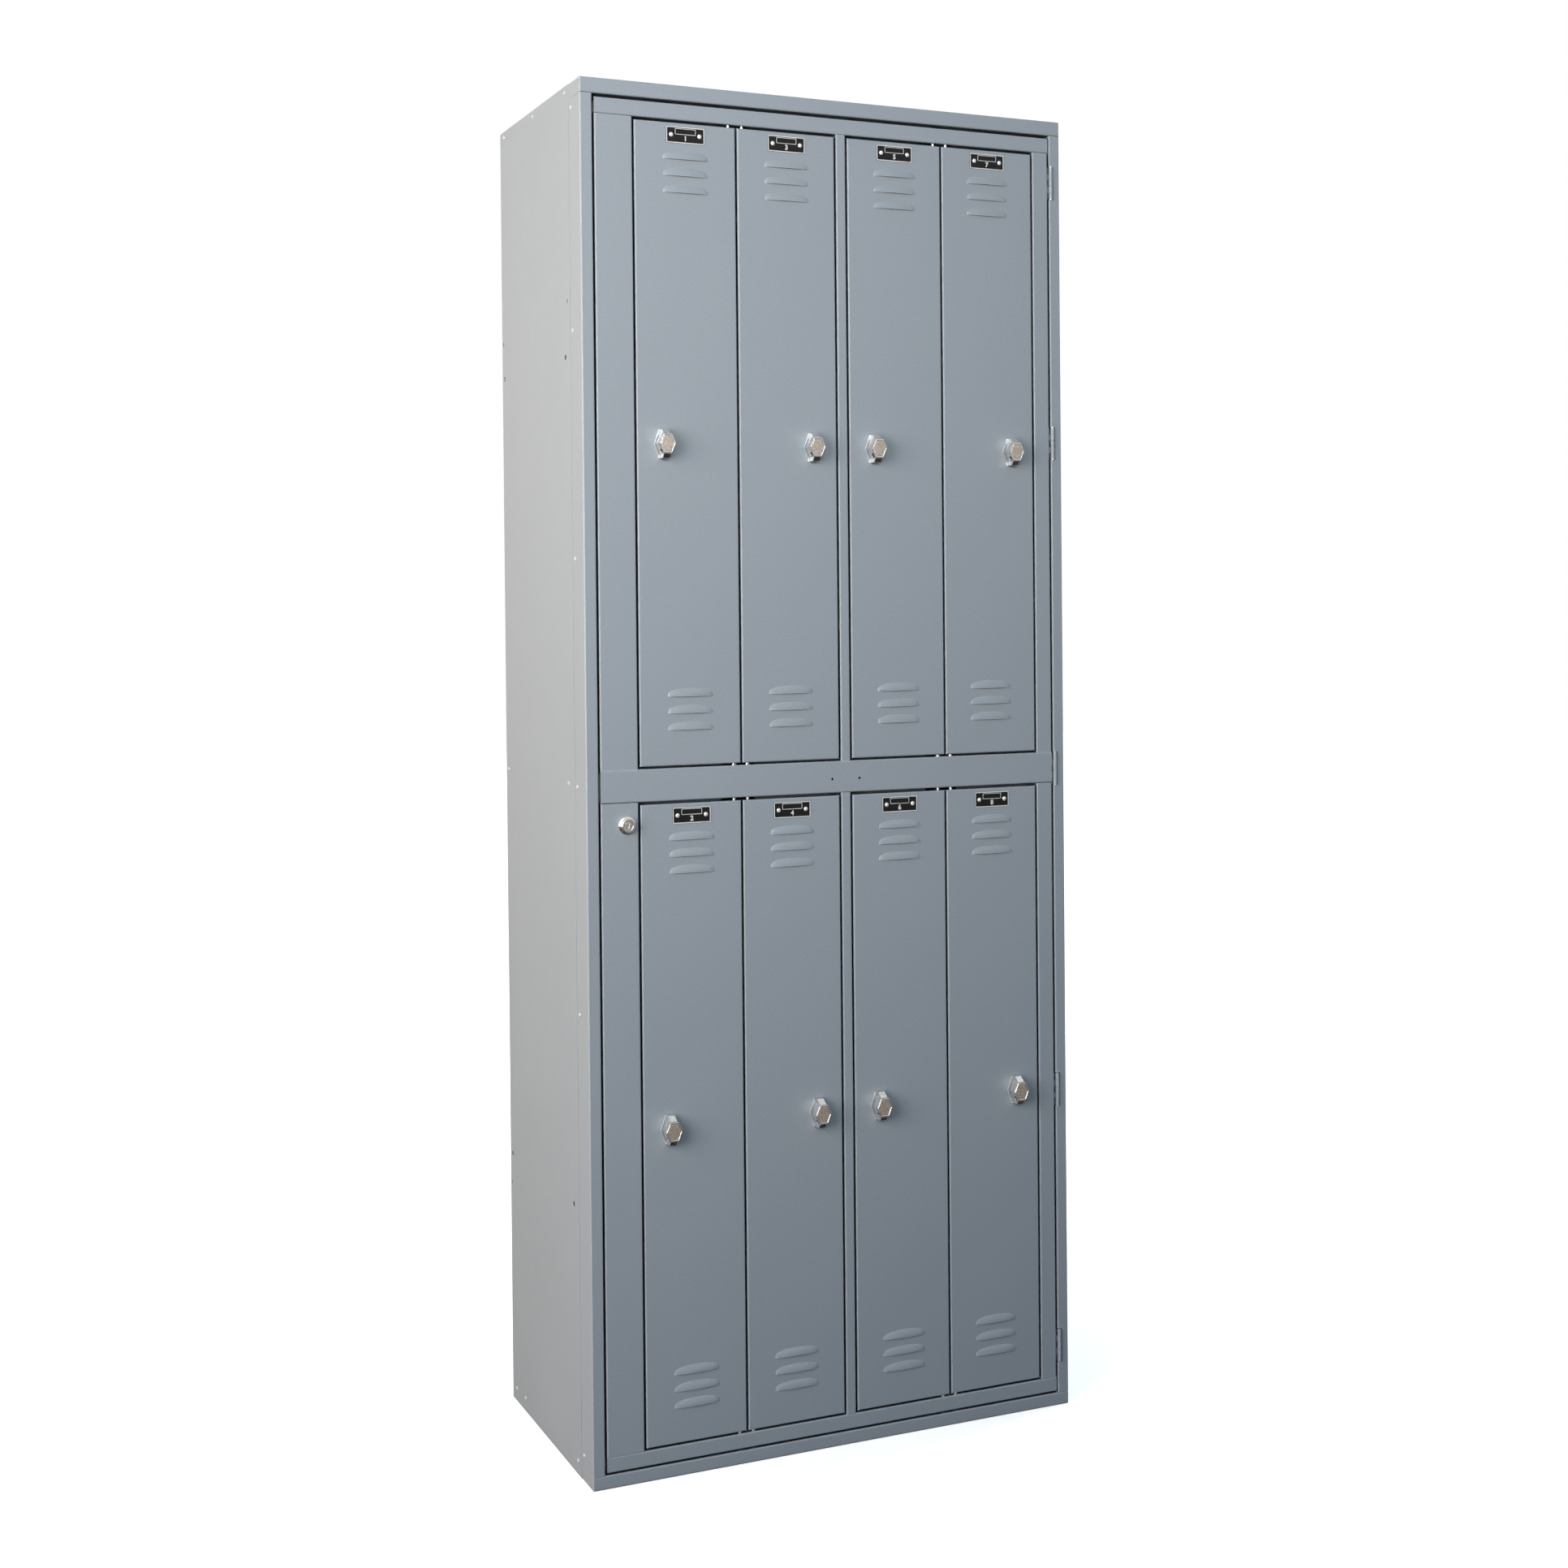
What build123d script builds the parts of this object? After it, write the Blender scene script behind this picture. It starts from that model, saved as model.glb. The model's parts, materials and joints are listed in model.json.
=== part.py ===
from build123d import *
import os

# Locker cabinet: a welded sheet-steel carcass, one large gang door that covers its whole front,
# and eight narrow personal doors that pivot in the gang door's frame.
# Millimetres. +Z is up, +X is to the right seen from the front, and the front faces -Y.
# The origin is under the middle of the cabinet, on the floor.

# ---- driving dimensions ----
WIDTH = 762.0
DEPTH = 390.0
HEIGHT = 1950.0
FRAME_T = 1.5  # frame and door sheet
SHEET_T = 1.2  # carcass sheet
BEND = 2.0  # outside radius of a folded edge
SEAM = 0.4  # visible joint between two frame members
WRAP_SEAM = 1.2  # groove between the front frame and the panels behind it

HANDLE_PROUD = 20.0  # turn handle face in front of the doors
RIVET_HEAD = 1.0  # height of a rivet head
RIVET_R = 3.2

# ---- carcass front frame ----
FRAME_SIDE = 18.0  # face width of the side members
FRAME_TOP = 21.5
FRAME_BOTTOM = 19.0
WRAP = 49.0  # how far the frame folds back round the sides
REBATE = 20.0  # depth of the recess that the gang door closes into
FRAME_LIP = 11.0  # stop flange behind the gang door's edge
FRAME_LIP_TALL = 13.0  # the same flange above and below the gang door

# ---- carcass panels ----
JOG = 2.0  # length of the step from a panel's face to its tongue
TONGUE = 24.0  # front edge of the tongues behind the front
BACK_FLANGE = 20.0
TOP_FLANGE = 18.0
FLOOR_FLANGE = 30.0
FLOOR_NOSE = 26.0  # front edge of the floor behind the front
SHELF_FLANGE = 22.0
SHELF_NOSE = 30.0
DIVIDER_T = 1.0
DIVIDER_NOSE = 34.0
DIVIDER_HEM = 6.0
DIVIDER_FLANGE = 12.0
GANGING_R = 4.0
GANGING_FRONT = 74.0  # ganging holes behind the front
GANGING_REAR = 12.5  # ganging holes in front of the back
GANGING_DROPS = (1570.0, 377.5)
SLOT_W = 5.0
SLOT_H = 6.0

# ---- gang door ----
GANG_GAP_SIDE = 3.0
GANG_GAP_TOP = 4.5
GANG_GAP_BOTTOM = 3.0
GANG_DEEP = 16.0  # depth of its channels
LATCH_STILE = 55.0
HINGE_STILE = 26.0
MULLION = 15.0
GANG_TOP = 22.5
GANG_MIDDLE = 46.0
GANG_BOTTOM = 21.5
DOOR_LIP = 9.0  # stop flange behind a personal door's edge
LIP_TALL = 10.0  # the same flange above or below a door
LABEL_HOLES = 43.4  # spacing of the two holes for a card holder
LABEL_HOLE_R = 2.0
LABEL_DROP = 3.0  # the same holes below the middle of the rail

# ---- personal doors ----
DOOR_GAP = 3.0
DOOR_GAP_TOP = 4.0
DOOR_DEEP = 13.0
PIVOT_INSET = 9.0  # pivot axis from the door's edge
PIVOT_DEEP = 5.5  # pivot axis behind the front face
PIVOT_R = 2.25
PIVOT_HOLE_R = 2.32
HUB_INSET = 38.5  # turn handle axis from the latch edge
LOWER_HUB_DROP = 6.5  # turn handle axis below the middle of a lower door

# ---- louvres, plates ----
LOUVRE_HALF = 33.5
LOUVRE_TALL = 11.5
LOUVRE_PROUD = 3.0
LOUVRE_PITCH = 23.4
LOUVRE_FIRST_TOP = 51.0
LOUVRE_FIRST_BOTTOM = 50.0
PLATE_W = 57.5
PLATE_H = 23.0
PLATE_T = 0.8
PLATE_DROP = 17.0  # plate centre below the door's top
PLATE_RIVETS = 42.5  # spacing of its two rivets
PLATE_RIVET_R = 2.6
PLATE_RIVET_HEAD = 0.9

# ---- turn handles: half sizes of their hexagons as (width, height, flat) ----
BASE_HEX = (14.0, 20.0, 7.5)
BASE_T = 1.6
SLEEVE_R = 5.8
HEAD_HEX = (12.4, 14.0, 6.4)
CROWN_HEX = (11.6, 13.0, 6.1)  # the head's front, inside its bevel
RECESS_HEX = (10.2, 11.4, 5.5)
HANDLE_REAR = 1.9  # back of the handle in front of the door
HEAD_REAR = 5.0
BEVEL_REAR = 18.0
RECESS_DEEP = 0.5
BAR_HALF = 5.0  # half width of the upright bar behind the head
BAR_TOP = 21.0
BAR_FOOT = -20.0
BAR_FOOT_DEEP = 13.0  # front of the bar's foot, from where it slopes up to the head
BAR_TOP_DEEP = 8.0  # front of the bar's top end, from where it slopes down to the head
PADLOCK_R = 3.2
PADLOCK_DROP = 10.1  # below the handle's axis
PADLOCK_DEEP = 14.5

# ---- hardware ----
HINGE_LONG = 48.0
HINGE_T = 1.2
HINGE_HEIGHTS = (91.4, 482.0, 970.4, 1463.0, 1856.5)
KNUCKLE_R = 3.2
HINGE_PIN_R = 1.5
HINGE_BORE_R = 1.55
SPINDLE_R = 3.0
SPINDLE_BORE_R = 3.06
SPINDLE_END_R = 2.4
CAM_T = 1.8
CAM_REACH = 40.0
LOCK_X = -322.6
LOCK_Z = 918.4
LOCK_BODY_R = 9.4
LOCK_RING_R = 10.4
LOCK_FLANGE_R = 12.75
LOCK_PLUG_R = 6.4
LOCK_STUD_R = 4.0
LOCK_PROUD = 8.6
FIT = 0.05  # radial clearance of a rivet shank or nut

# ---- coat hooks ----
HOOK_WIRE_R = 2.5
HOOK_ARM = 18.0
HOOK_DROP = 54.0

# ---- derived places ----
FRONT = (HANDLE_PROUD - DEPTH - RIVET_HEAD) / 2
BACK = FRONT + DEPTH
SIDE = WIDTH / 2
GANG_X = SIDE - FRAME_SIDE - GANG_GAP_SIDE
GANG_Z0 = FRAME_BOTTOM + GANG_GAP_BOTTOM
GANG_Z1 = HEIGHT - FRAME_TOP - GANG_GAP_TOP
OPENING = (GANG_Z1 - GANG_Z0 - GANG_TOP - GANG_MIDDLE - GANG_BOTTOM) / 2
LOWER_Z0 = GANG_Z0 + GANG_BOTTOM
LOWER_Z1 = LOWER_Z0 + OPENING
UPPER_Z0 = LOWER_Z1 + GANG_MIDDLE
UPPER_Z1 = UPPER_Z0 + OPENING
PAIR = (2 * GANG_X - LATCH_STILE - MULLION - HINGE_STILE) / 2  # opening for two doors
LEFT_PAIR_X = -GANG_X + LATCH_STILE
RIGHT_PAIR_X = LEFT_PAIR_X + PAIR + MULLION
DOOR_W = (PAIR - 3 * DOOR_GAP) / 2
DOOR_H = OPENING - DOOR_GAP_TOP - DOOR_GAP
LEFT_MEET = LEFT_PAIR_X + PAIR / 2  # line where doors 1 and 3 meet
RIGHT_MEET = RIGHT_PAIR_X + PAIR / 2
MULLION_X = LEFT_PAIR_X + PAIR + MULLION / 2
PIVOT_Y = FRONT + PIVOT_DEEP
RAIL_Z = (LOWER_Z1 + UPPER_Z0) / 2
SHELF_Z = RAIL_Z + 10.0
FLOOR_Z = FRAME_BOTTOM + 15.2
LINER_BACK = BACK - 2 * SHEET_T  # inside face of the back panel
HINGE_X = GANG_X + 6.0
HINGE_Y = FRONT + 0.5
HOOK_Y = FRONT + DEPTH / 2
LIP_Y = FRONT + GANG_DEEP
CAM_Y = LIP_Y + FRAME_T + 0.8
LOCK_CAM_Y = FRONT + 22.3
HUB_X = PIVOT_INSET - DOOR_W + HUB_INSET  # hub from the pivot, on a door hung on its right
HUB_ZS = (DOOR_H / 2, DOOR_H / 2 - LOWER_HUB_DROP)  # hub above the foot of an upper and of a lower door
DOOR_MID_X = PIVOT_INSET - DOOR_W / 2


# ---- shared shapes ----
def block(x0, x1, y0, y1, z0, z1):
    """A rectangular solid between two corners."""
    size = Box(x1 - x0, y1 - y0, z1 - z0)
    return Pos((x0 + x1) / 2, (y0 + y1) / 2, (z0 + z1) / 2) * size


def joined(shapes):
    """One solid made of shapes that meet."""
    first, *rest = shapes
    return (first + rest).clean() if rest else first


def folded(points, thickness=FRAME_T, bend=BEND):
    """The section of a folded sheet. The points follow one face, with the sheet to their left."""
    line = FilletPolyline(*points, radius=bend)
    return make_face(line.offset_2d(thickness, side=Side.LEFT))


def upright(points, z0, z1, thickness=FRAME_T, bend=BEND):
    """A folded section given in plan, extruded from z0 to z1."""
    return extrude(Plane.XY.offset(z0) * folded(points, thickness, bend), amount=z1 - z0)


def level(points, x0, x1, thickness=FRAME_T):
    """A folded section given as (y, z) points, extruded from x0 to x1."""
    return extrude(Plane.YZ.offset(x0) * folded(points, thickness), amount=x1 - x0)


def along_y(x, z, radius, y0, y1):
    """A cylinder parallel to Y."""
    return Pos(x, (y0 + y1) / 2, z) * Rot(90, 0, 0) * Cylinder(radius, y1 - y0)


def along_x(y, z, radius, x0, x1):
    """A cylinder parallel to X."""
    return Pos((x0 + x1) / 2, y, z) * Rot(0, 90, 0) * Cylinder(radius, x1 - x0)


def along_z(x, y, radius, z0, z1):
    """A cylinder parallel to Z."""
    return Pos(x, y, (z0 + z1) / 2) * Cylinder(radius, z1 - z0)


def facing(y):
    """A plane parallel to the front, looking out of it, with its own Y up."""
    return Plane(origin=(0, y, 0), x_dir=(1, 0, 0), z_dir=(0, -1, 0))


def mirrored(shape):
    """The same shape on the other side of the cabinet."""
    return mirror(shape, about=Plane.YZ)


def hex_nut(x, z, across, hole_r, y0, y1):
    """A hexagonal nut on an axis parallel to Y."""
    section = RegularPolygon(across / 2, 6, major_radius=False) - Circle(hole_r)
    return Pos(x, 0, z) * extrude(facing(y1) * section, amount=y1 - y0)


def save(shape, node):
    """Writes one sub-part."""
    export_step(shape, f"parts/{node}.step")


# ---- rivets ----
RIVET_SHANK_R = 1.6
RIVET_GRIP = 2.4  # length of the shank under the head
STRIP_RIVETS = [HEIGHT - drop for drop in (35.0, 344.0, 661.0, 979.0, 1297.0, 1914.0)]
TOP_FLANGE_RIVETS = [BACK - inset for inset in (22.0, 172.0, 324.0)]
SHELF_RIVETS = [BACK - inset for inset in (14.0, 312.0)]
FLOOR_RIVETS = [BACK - inset for inset in (22.0, 68.0, 324.0)]
FLANGE_DROP = 9.0  # rivet row below the top of the shelf or of the top panel
FLOOR_DROP = 15.0  # rivet row below the floor's top
BACK_RIVET_X = SIDE - 10.0
BACK_RIVETS = [60.0 + 228.75 * n for n in range(9)]


def side_rivet_spots():
    """(y, z) of every rivet on a side."""
    spots = [(FRONT + WRAP - 10.0, z) for z in STRIP_RIVETS]
    spots += [(y, HEIGHT - FLANGE_DROP) for y in TOP_FLANGE_RIVETS]
    spots += [(y, SHELF_Z - FLANGE_DROP) for y in SHELF_RIVETS]
    spots += [(y, FLOOR_Z - FLOOR_DROP) for y in FLOOR_RIVETS]
    return spots


def rivet():
    """A domed rivet on an axis along +Z. Its head stands on a face at z = 0, with the shank below."""
    head = Pos(0, 0, RIVET_HEAD / 2) * Cylinder(RIVET_R, RIVET_HEAD)
    head = fillet(head.edges().group_by(Axis.Z)[-1], 0.7)
    return head + along_z(0, 0, RIVET_SHANK_R, -RIVET_GRIP, RIVET_HEAD / 2)


def side_rivet(y, z):
    """A rivet in the left side."""
    return Pos(-SIDE, y, z) * Rot(0, -90, 0) * rivet()


def back_rivet(x, z):
    """A rivet in the back."""
    return Pos(x, BACK, z) * Rot(-90, 0, 0) * rivet()


def side_holes():
    """Cutters for the rivet holes of the left side."""
    hole_r = RIVET_SHANK_R + FIT
    return [along_x(y, z, hole_r, -SIDE - 1, -SIDE + 4) for y, z in side_rivet_spots()]


def back_holes():
    """Cutters for the rivet holes of the back."""
    hole_r = RIVET_SHANK_R + FIT
    places = [(side * BACK_RIVET_X, z) for side in (-1, 1) for z in BACK_RIVETS]
    return [along_y(x, z, hole_r, BACK - 4, BACK + 1) for x, z in places]


def both_sides(cutters):
    """The same cutters for the left and the right side."""
    return cutters + [mirrored(cutter) for cutter in cutters]


# ---- carcass: front frame ----
def frame_stile():
    """The left side member: it wraps the side, covers the front, and folds in as a stop flange."""
    edge = -SIDE + FRAME_SIDE
    plan = [
        (-SIDE, FRONT + WRAP),
        (-SIDE, FRONT),
        (edge, FRONT),
        (edge, FRONT + REBATE),
        (edge + FRAME_LIP, FRONT + REBATE),
    ]
    return upright(plan, FRAME_BOTTOM + SEAM, HEIGHT - FRAME_TOP - SEAM) - side_holes()


def hinge_stile():
    """The right side member, notched for the hinge knuckles."""
    stile = mirrored(frame_stile())
    edge = SIDE - FRAME_SIDE
    notch_w = 7.0
    notch_deep = 4.6
    half = HINGE_LONG / 2 + 1.4
    for z in HINGE_HEIGHTS:
        stile -= block(edge - 1, edge + notch_w, FRONT - 1, FRONT + notch_deep, z - half, z + half)
    return stile


def frame_rail(z0, z1, lip_z0, lip_z1, open_z):
    """A top or bottom member: a shallow box, open behind, with a stop flange for the gang door."""
    shell = block(-SIDE, SIDE, FRONT, FRONT + WRAP, z0, z1)
    front_edges = shell.edges().group_by(Axis.Y)[0]
    corner_edges = shell.edges().filter_by(Axis.Y)
    outside = corner_edges.group_by(Axis.Z)[0 if z0 == 0 else -1]
    shell = fillet(front_edges + outside, BEND)
    inner = SIDE - FRAME_T
    past = FRONT + WRAP + 1
    shell -= block(-inner, inner, FRONT + FRAME_T, past, z0 + FRAME_T, z1 - FRAME_T)
    shell -= block(-inner, inner, FRONT + REBATE, past, open_z - FRAME_T - 1, open_z + FRAME_T + 1)
    lip_half = SIDE - FRAME_SIDE - FRAME_LIP - SEAM
    lip = block(-lip_half, lip_half, FRONT + REBATE, FRONT + REBATE + FRAME_T, lip_z0, lip_z1)
    return joined([shell, lip])


def frame_top():
    """The top member of the front frame."""
    low = HEIGHT - FRAME_TOP
    return frame_rail(low, HEIGHT, low - FRAME_LIP_TALL, low + FRAME_T, low)


def frame_bottom():
    """The bottom member of the front frame."""
    high = FRAME_BOTTOM
    return frame_rail(0.0, high, high - FRAME_T, high + FRAME_LIP_TALL, high)


# ---- carcass: panels ----
JOG_Y = FRONT + WRAP + WRAP_SEAM  # where each panel meets the front frame
TONGUE_Y = FRONT + TONGUE
GANGING_YS = (FRONT + GANGING_FRONT, BACK - GANGING_REAR)
SLOTS = [(FRONT + 63.0, HEIGHT - 300.0), (BACK - 8.0, HEIGHT - 324.5), (BACK - 8.0, HEIGHT - 1615.5)]


def side_panel():
    """The left side: a sheet with a joggled tongue behind the front frame and flanges behind and below."""
    inside = -SIDE + SHEET_T
    tongue_x = -SIDE + FRAME_T
    tongue_z = (FRAME_BOTTOM + 2 * FRAME_T, HEIGHT - FRAME_TOP - 2 * FRAME_T)
    sheet = block(-SIDE, inside, JOG_Y, BACK, 0, HEIGHT)
    back_flange = block(-SIDE, -SIDE + BACK_FLANGE, BACK - SHEET_T, BACK, 0, HEIGHT - SHEET_T - FIT)
    bottom_flange = block(-SIDE, -SIDE + BACK_FLANGE, JOG_Y, BACK, 0, SHEET_T)
    jog = block(-SIDE, tongue_x + SHEET_T, JOG_Y, JOG_Y + JOG, *tongue_z)
    tongue = block(tongue_x, tongue_x + SHEET_T, TONGUE_Y, JOG_Y + JOG, *tongue_z)
    panel = joined([sheet, back_flange, bottom_flange, jog, tongue])
    back_corner = panel.edges().filter_by(Axis.Z).sort_by(Axis.Y)[-3:].sort_by(Axis.X)[0]
    panel = fillet(back_corner, BEND)
    hole_zs = [HEIGHT - drop for drop in GANGING_DROPS]
    holes = [along_x(y, z, GANGING_R, -SIDE - 1, -SIDE + 3) for y in GANGING_YS for z in hole_zs]
    slots = [Pos(-SIDE, y, z) * Box(6.0, SLOT_W, SLOT_H) for y, z in SLOTS]
    return panel - holes - slots - side_holes() - back_holes()


def top_panel():
    """The top: a sheet with flanges down its sides and back, tucked under the front frame."""
    half = SIDE - SHEET_T - FIT
    tongue_half = half - 2 * SHEET_T - FIT
    under = HEIGHT - FRAME_T
    flange_z = HEIGHT - TOP_FLANGE
    sheet = block(-half, half, JOG_Y, BACK, HEIGHT - SHEET_T, HEIGHT)
    jog = block(-tongue_half, tongue_half, JOG_Y, JOG_Y + JOG, under - SHEET_T, HEIGHT)
    tongue = block(-tongue_half, tongue_half, TONGUE_Y, JOG_Y + JOG, under - SHEET_T, under)
    flange = block(-half, -half + SHEET_T, JOG_Y + 2 * JOG, LINER_BACK - SHEET_T, flange_z, HEIGHT)
    back_half = SIDE - BACK_FLANGE - SEAM
    back_flange = block(-back_half, back_half, BACK - SHEET_T, BACK, flange_z, HEIGHT)
    panel = joined([sheet, jog, tongue, flange, mirrored(flange), back_flange])
    return panel - both_sides(side_holes())


def tray(top, flange, front):
    """A floor or shelf: a sheet with flanges turned down on all four sides."""
    half = SIDE - SHEET_T - FIT
    front_half = SIDE - FRAME_T - SHEET_T - FIT
    under = top - SHEET_T
    low = top - flange
    back = LINER_BACK - FIT
    neck = JOG_Y + 1.5 * JOG  # behind the side panels' steps
    corner = 2.0  # open corner between two flanges
    sheet = block(-half, half, neck, back, under, top)
    nose = block(-front_half, front_half, front, neck, under, top)
    side_flange = block(-half, -half + SHEET_T, neck + 1.0, back - corner, low, top)
    front_flange = block(-front_half, front_half, front, front + SHEET_T, low, top)
    back_flange = block(-half + corner, half - corner, back - SHEET_T, back, low, top)
    shell = joined([sheet, nose, side_flange, mirrored(side_flange), front_flange, back_flange])
    return shell - both_sides(side_holes())


def back_panel():
    """The back: a flat sheet riveted in front of the side panels' flanges."""
    half = SIDE - SHEET_T - FIT
    sheet = block(-half, half, LINER_BACK, BACK - SHEET_T, SHEET_T + FIT, HEIGHT - SHEET_T - FIT)
    return sheet - back_holes()


def divider(x, z0, z1):
    """A partition between two columns, hemmed at the front and flanged at the back."""
    back = LINER_BACK - SHEET_T - 2 * FIT
    nose = FRONT + DIVIDER_NOSE
    plan = [(x + DIVIDER_FLANGE, back), (x, back), (x, nose), (x + DIVIDER_HEM, nose)]
    return upright(plan, z0, z1, DIVIDER_T, 1.5 * DIVIDER_T)


def dividers():
    """The six partitions: behind the mullions and behind each pair's meeting line."""
    tiers = [(FLOOR_Z, SHELF_Z - SHEET_T), (SHELF_Z, HEIGHT - FRAME_T - SHEET_T)]
    return [divider(x, z0, z1) for z0, z1 in tiers for x in (LEFT_MEET, MULLION_X, RIGHT_MEET)]


def rivets():
    """Every rivet of the carcass."""
    left = [side_rivet(y, z) for y, z in side_rivet_spots()]
    back = [back_rivet(side * BACK_RIVET_X, z) for side in (-1, 1) for z in BACK_RIVETS]
    return left + [mirrored(one) for one in left] + back


# ---- coat hooks ----
def coat_hook(x, ceiling):
    """A two-armed ceiling hook: a plate, a stem and a U of round bar with ball ends."""
    bend_z = ceiling - HOOK_DROP + HOOK_ARM
    plate_t = 2.0
    arm_rise = 8.0
    ball_r = 3.6
    plate = block(x - 8, x + 8, HOOK_Y - HOOK_ARM, HOOK_Y + HOOK_ARM, ceiling - plate_t, ceiling)
    plate = fillet(plate.edges().filter_by(Axis.Z), 5.0)
    stem = along_z(x, HOOK_Y, HOOK_WIRE_R, ceiling - HOOK_DROP, ceiling - plate_t / 2)
    ring = Pos(x, HOOK_Y, bend_z) * Rot(0, 90, 0) * Torus(HOOK_ARM, HOOK_WIRE_R)
    half_ring = ring - block(x - 9, x + 9, HOOK_Y - 30, HOOK_Y + 30, bend_z, bend_z + 30)
    ends = (HOOK_Y - HOOK_ARM, HOOK_Y + HOOK_ARM)
    arms = [along_z(x, y, HOOK_WIRE_R, bend_z - 0.01, bend_z + arm_rise) for y in ends]
    balls = [Pos(x, y, bend_z + arm_rise + 1.0) * Sphere(ball_r) for y in ends]
    return joined([plate, stem, half_ring, *arms, *balls])


def coat_hooks():
    """One hook under the ceiling of each compartment."""
    walls = (-SIDE, LEFT_MEET, MULLION_X, RIGHT_MEET, SIDE)
    middles = [(a + b) / 2 for a, b in zip(walls, walls[1:])]
    ceilings = (SHELF_Z - SHEET_T, HEIGHT - SHEET_T)
    return [coat_hook(x, ceiling) for ceiling in ceilings for x in middles]


# ---- gang door frame ----
def stile_plan(width):
    """A channel in plan, along the gang door's left edge, with a stop flange for the door beside it."""
    inner = -GANG_X + width
    return [
        (-GANG_X + 10, LIP_Y),
        (-GANG_X, LIP_Y),
        (-GANG_X, FRONT),
        (inner, FRONT),
        (inner, LIP_Y),
        (inner + DOOR_LIP, LIP_Y),
    ]


def mullion_plan():
    """The hat section between the two pairs of doors, in plan."""
    left = MULLION_X - MULLION / 2
    right = MULLION_X + MULLION / 2
    return [
        (left - DOOR_LIP, LIP_Y),
        (left, LIP_Y),
        (left, FRONT),
        (right, FRONT),
        (right, LIP_Y),
        (right + DOOR_LIP, LIP_Y),
    ]


def gang_uprights(plan, seam):
    """The upper and the lower length of one upright of the gang door."""
    lower = upright(plan, LOWER_Z0 + seam, LOWER_Z1 - seam)
    upper = upright(plan, UPPER_Z0, UPPER_Z1 - seam)
    return [lower, upper]


def pair_openings():
    """(left, right, meeting line) of the two openings of a tier."""
    return [
        (LEFT_PAIR_X, LEFT_PAIR_X + PAIR, LEFT_MEET),
        (RIGHT_PAIR_X, RIGHT_PAIR_X + PAIR, RIGHT_MEET),
    ]


def pivot_xs():
    """The pivot axes of a tier, from left to right."""
    reach = DOOR_GAP / 2 + PIVOT_INSET
    return [meet + side * reach for meet in (LEFT_MEET, RIGHT_MEET) for side in (-1, 1)]


def gang_rail(z0, z1, lip_zs):
    """A level channel of the gang door, with stop flanges, and holes for the pivot pins."""
    section = [(LIP_Y, z1), (FRONT, z1), (FRONT, z0), (LIP_Y, z0)]
    channel = level(section, -GANG_X, GANG_X)
    clear_of_pivots = 26.0
    lips = []
    for low, high in lip_zs:
        for left, right, meet in pair_openings():
            spans = [
                (left + DOOR_LIP + SEAM, meet - clear_of_pivots),
                (meet + clear_of_pivots, right - DOOR_LIP - SEAM),
            ]
            lips += [block(a, b, LIP_Y, LIP_Y + FRAME_T, low, high) for a, b in spans]
    pin_r = PIVOT_R + FIT
    holes = [along_z(x, PIVOT_Y, pin_r, z0 - 1, z1 + 1) for x in pivot_xs()]
    return joined([channel, *lips]) - holes


def lip_above(z):
    """The height range of a stop flange that stands up from a channel whose top is at z."""
    return (z - FRAME_T, z + LIP_TALL)


def lip_below(z):
    """The height range of a stop flange that hangs from a channel whose underside is at z."""
    return (z - LIP_TALL, z + FRAME_T)


def pivot_pins():
    """A pin above and a pin below each door, each with a head inside its channel."""
    reach = 8.0
    head_r = 3.6
    head_t = 1.5
    washer_t = 1.5
    pins = []
    for z0, z1 in ((LOWER_Z0, LOWER_Z1), (UPPER_Z0, UPPER_Z1)):
        for x in pivot_xs():
            upper = along_z(x, PIVOT_Y, PIVOT_R, z1 - DOOR_GAP_TOP - reach, z1 + FRAME_T + head_t)
            upper_head = along_z(x, PIVOT_Y, head_r, z1 + FRAME_T, z1 + FRAME_T + head_t)
            lower = along_z(x, PIVOT_Y, PIVOT_R, z0 - FRAME_T - head_t, z0 + DOOR_GAP + reach)
            lower_head = along_z(x, PIVOT_Y, head_r, z0 - FRAME_T - head_t, z0 - FRAME_T)
            washer = along_z(x, PIVOT_Y, head_r, z0, z0 + washer_t)
            pins += [upper + upper_head, joined([lower, lower_head, washer])]
    return pins


def door_bumpers():
    """Rubber silencers on the stop flanges, two behind the latch edge of each door."""
    pad_r = 3.2
    reach = DOOR_LIP - pad_r - 0.6
    latch_xs = [
        LEFT_PAIR_X + reach,
        LEFT_PAIR_X + PAIR - reach,
        RIGHT_PAIR_X + reach,
        RIGHT_PAIR_X + PAIR - reach,
    ]
    bumper_t = LIP_Y - FRONT - DOOR_DEEP - 0.2
    bumpers = []
    for z0, z1 in ((LOWER_Z0, LOWER_Z1), (UPPER_Z0, UPPER_Z1)):
        for x in latch_xs:
            for z in (z0 + OPENING / 4, z1 - OPENING / 4):
                pad = along_y(x, z, pad_r, LIP_Y - bumper_t, LIP_Y)
                bumpers.append(fillet(pad.edges().group_by(Axis.Y)[0], 0.8))
    return bumpers


# ---- main hinges ----
KNUCKLES = 5
KNUCKLE = HINGE_LONG / KNUCKLES


def knuckles(z, which):
    """The (z0, z1) of the chosen knuckles of a hinge centred at height z."""
    low = z - HINGE_LONG / 2
    return [(low + n * KNUCKLE + 0.15, low + (n + 1) * KNUCKLE - 0.15) for n in which]


def hinge_leaf(z, which, plate, web_box):
    """A leaf: its plate, and its knuckles with the webs that join them to the plate."""
    pieces = [plate]
    for z0, z1 in knuckles(z, which):
        pieces.append(along_z(HINGE_X, HINGE_Y, KNUCKLE_R, z0, z1))
        pieces.append(block(*web_box, z0, z1))
    half = HINGE_LONG / 2 + 1
    return joined(pieces) - along_z(HINGE_X, HINGE_Y, HINGE_BORE_R, z - half, z + half)


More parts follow.
